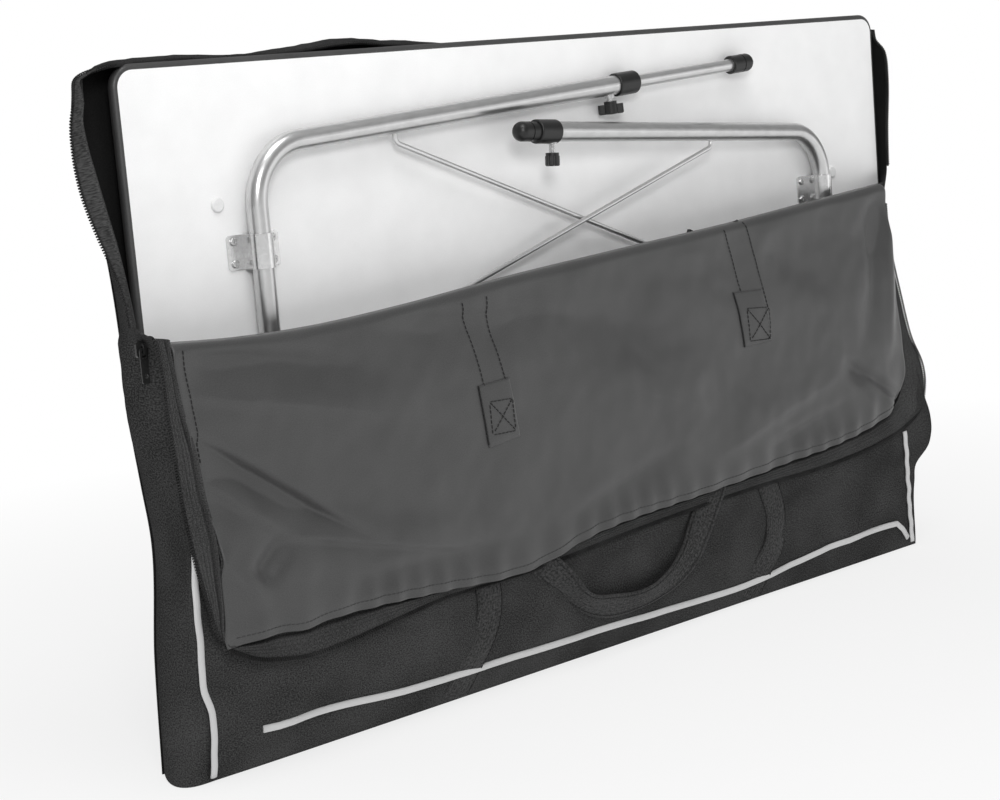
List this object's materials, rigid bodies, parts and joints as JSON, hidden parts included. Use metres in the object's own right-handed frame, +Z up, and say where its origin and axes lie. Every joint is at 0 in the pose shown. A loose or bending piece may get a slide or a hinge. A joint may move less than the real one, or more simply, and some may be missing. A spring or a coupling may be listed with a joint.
{
  "type": "folding manicure table in carry bag",
  "caption": "Folding manicure table with telescoping tube legs and wire braces, folded flat and standing in its open soft carry bag.",
  "frame": {"origin": "on the floor under the middle of the table's long edge, in the plane of the tabletop's underside", "axes": "+X along the table's long side, +Y from the underside towards the worktop, +Z up"},
  "size_m": [1.0485, 0.1205, 0.612],
  "materials": {
    "laminate_white": "satin white laminate on chipboard",
    "trim_black": "soft satin",
    "bracket_zinc": "zinc plated, satin",
    "screw_zinc": "zinc plated",
    "tube_silver": "satin silver",
    "wire_silver": "satin silver",
    "plastic_black": "moulded, satin",
    "cap_white": "moulded, satin",
    "canvas_black": "woven polyester, matte",
    "lining_grey": "coated lining, soft sheen",
    "webbing_black": "ribbed webbing",
    "zip_tape": "ribbed zip tape with coil",
    "zip_metal": "black enamel, satin",
    "piping_grey": "light grey piping"
  },
  "bodies": {
    "bag": {"bag_gusset": "canvas_black", "bag_rear_panel": "canvas_black", "bag_front_panel": "canvas_black", "zip_tape_rear": "zip_tape", "piping": "piping_grey", "front_straps": "webbing_black", "rear_straps": "webbing_black"},
    "table": {"tabletop_board": "laminate_white", "edge_trim": "trim_black", "bracket_left_upper": "bracket_zinc", "bracket_left_lower": "bracket_zinc", "bracket_right_upper": "bracket_zinc", "bracket_right_lower": "bracket_zinc", "bracket_screws": "screw_zinc", "screw_cover_caps": "cap_white", "brace_catch": "plastic_black", "brace_clip": "plastic_black", "plastic_part_screws": "screw_zinc"},
    "leg_left": {"leg_frame_left": "tube_silver", "rivet_nuts_left": "screw_zinc", "collar_left_upper": "plastic_black", "collar_left_lower": "plastic_black"},
    "leg_right": {"leg_frame_right": "tube_silver", "rivet_nuts_right": "screw_zinc", "collar_right_upper": "plastic_black", "collar_right_lower": "plastic_black"},
    "brace_left": {"brace_left": "wire_silver"},
    "brace_right": {"brace_right": "wire_silver"},
    "inner_leg_left_upper": {"inner_tube_left_upper": "tube_silver", "foot_left_upper": "plastic_black"},
    "clamp_knob_left_upper": {"knob_left_upper": "plastic_black", "knob_stud_left_upper": "screw_zinc"},
    "inner_leg_left_lower": {"inner_tube_left_lower": "tube_silver", "foot_left_lower": "plastic_black"},
    "clamp_knob_left_lower": {"knob_left_lower": "plastic_black", "knob_stud_left_lower": "screw_zinc"},
    "inner_leg_right_upper": {"inner_tube_right_upper": "tube_silver", "foot_right_upper": "plastic_black"},
    "clamp_knob_right_upper": {"knob_right_upper": "plastic_black", "knob_stud_right_upper": "screw_zinc"},
    "inner_leg_right_lower": {"inner_tube_right_lower": "tube_silver", "foot_right_lower": "plastic_black"},
    "clamp_knob_right_lower": {"knob_right_lower": "plastic_black", "knob_stud_right_lower": "screw_zinc"},
    "flap": {"flap_canvas": "canvas_black", "flap_lining": "lining_grey", "zip_tape_flap": "zip_tape", "flap_straps": "webbing_black"},
    "front_handle": {"front_handle": "webbing_black"},
    "rear_handle": {"rear_handle": "webbing_black"},
    "zip_slider": {"zip_slider": "zip_metal"},
    "zip_pull": {"zip_pull": "zip_metal"}
  },
  "joints": [
    {"name": "table_lift", "type": "slide", "parent": "bag", "child": "table", "axis": [0, 0, 1], "range_m": [0, 0.7]},
    {"name": "leg_left_fold", "type": "hinge", "parent": "table", "child": "leg_left", "pos_m": [-0.378, -0.013, 0.304], "axis": [0, 0, -1], "range_deg": [0, 90], "deforming": ["bag_front_panel", "piping", "front_straps", "flap_canvas", "flap_lining", "zip_tape_flap", "flap_straps", "front_handle"]},
    {"name": "leg_right_fold", "type": "hinge", "parent": "table", "child": "leg_right", "pos_m": [0.378, -0.013, 0.304], "axis": [0, 0, 1], "range_deg": [0, 90]},
    {"name": "brace_left_fold", "type": "hinge", "parent": "leg_left", "child": "brace_left", "pos_m": [-0.22, -0.013, 0.304], "axis": [0, 0, 1], "range_deg": [0, 112.6]},
    {"name": "brace_right_fold", "type": "hinge", "parent": "leg_right", "child": "brace_right", "pos_m": [0.18933, -0.02421, 0.304], "axis": [0, 0, -1], "range_deg": [0, 113.23]},
    {"name": "leg_length_left_upper", "type": "slide", "parent": "leg_left", "child": "inner_leg_left_upper", "axis": [0.9984, 0, 0.0558], "range_m": [-0.15, 0.03]},
    {"name": "clamp_turn_left_upper", "type": "hinge", "parent": "leg_left", "child": "clamp_knob_left_upper", "pos_m": [0.057, -0.013, 0.54982], "axis": [0.0558, 0, -0.9984], "range_deg": [0, 270]},
    {"name": "leg_length_left_lower", "type": "slide", "parent": "leg_left", "child": "inner_leg_left_lower", "axis": [0.9984, 0, -0.0558], "range_m": [-0.15, 0.03]},
    {"name": "clamp_turn_left_lower", "type": "hinge", "parent": "leg_left", "child": "clamp_knob_left_lower", "pos_m": [0.057, -0.013, 0.05818], "axis": [0.0558, 0, 0.9984], "range_deg": [0, 270]},
    {"name": "leg_length_right_upper", "type": "slide", "parent": "leg_right", "child": "inner_leg_right_upper", "axis": [-0.9954, -0.0591, 0.076], "range_m": [0, 0.19]},
    {"name": "clamp_turn_right_upper", "type": "hinge", "parent": "leg_right", "child": "clamp_knob_right_upper", "pos_m": [-0.04925, -0.03838, 0.51263], "axis": [-0.0759, -0.0045, -0.9971], "range_deg": [0, 270]},
    {"name": "leg_length_right_lower", "type": "slide", "parent": "leg_right", "child": "inner_leg_right_lower", "axis": [-0.9954, -0.0591, -0.076], "range_m": [0, 0.19]},
    {"name": "clamp_turn_right_lower", "type": "hinge", "parent": "leg_right", "child": "clamp_knob_right_lower", "pos_m": [-0.04925, -0.03838, 0.09537], "axis": [-0.0759, -0.0045, 0.9971], "range_deg": [0, 270]},
    {"name": "flap_fold", "type": "hinge", "parent": "bag", "child": "flap", "pos_m": [0, -0.0685, 0.397], "axis": [0.9985, 0.0306, 0.0462], "range_deg": [-170, 0]},
    {"name": "front_handle_hang", "type": "hinge", "parent": "flap", "child": "front_handle", "pos_m": [-0.196, -0.07351, 0.241], "axis": [0.9985, 0.0306, 0.0462], "range_deg": [0, 170.1]},
    {"name": "rear_handle_swing", "type": "hinge", "parent": "bag", "child": "rear_handle", "pos_m": [0, 0.0278, 0.52], "axis": [1, 0, 0], "range_deg": [0, 80]},
    {"name": "zip_run", "type": "slide", "parent": "bag", "child": "zip_slider", "axis": [0, 0, 1], "range_m": [0, 0.2]},
    {"name": "zip_pull_swing", "type": "hinge", "parent": "zip_slider", "child": "zip_pull", "pos_m": [-0.522, -0.039, 0.375], "axis": [1, 0, 0], "range_deg": [-150, 0]}
  ],
  "couplings": [
    {"joint": "leg_right_fold", "follows": "leg_left_fold", "ratio": 1},
    {"joint": "brace_left_fold", "follows": "leg_left_fold", "ratio": 1.25},
    {"joint": "brace_right_fold", "follows": "leg_left_fold", "ratio": 1.257},
    {"joint": "front_handle_hang", "follows": "flap_fold", "ratio": -1}
  ]
}
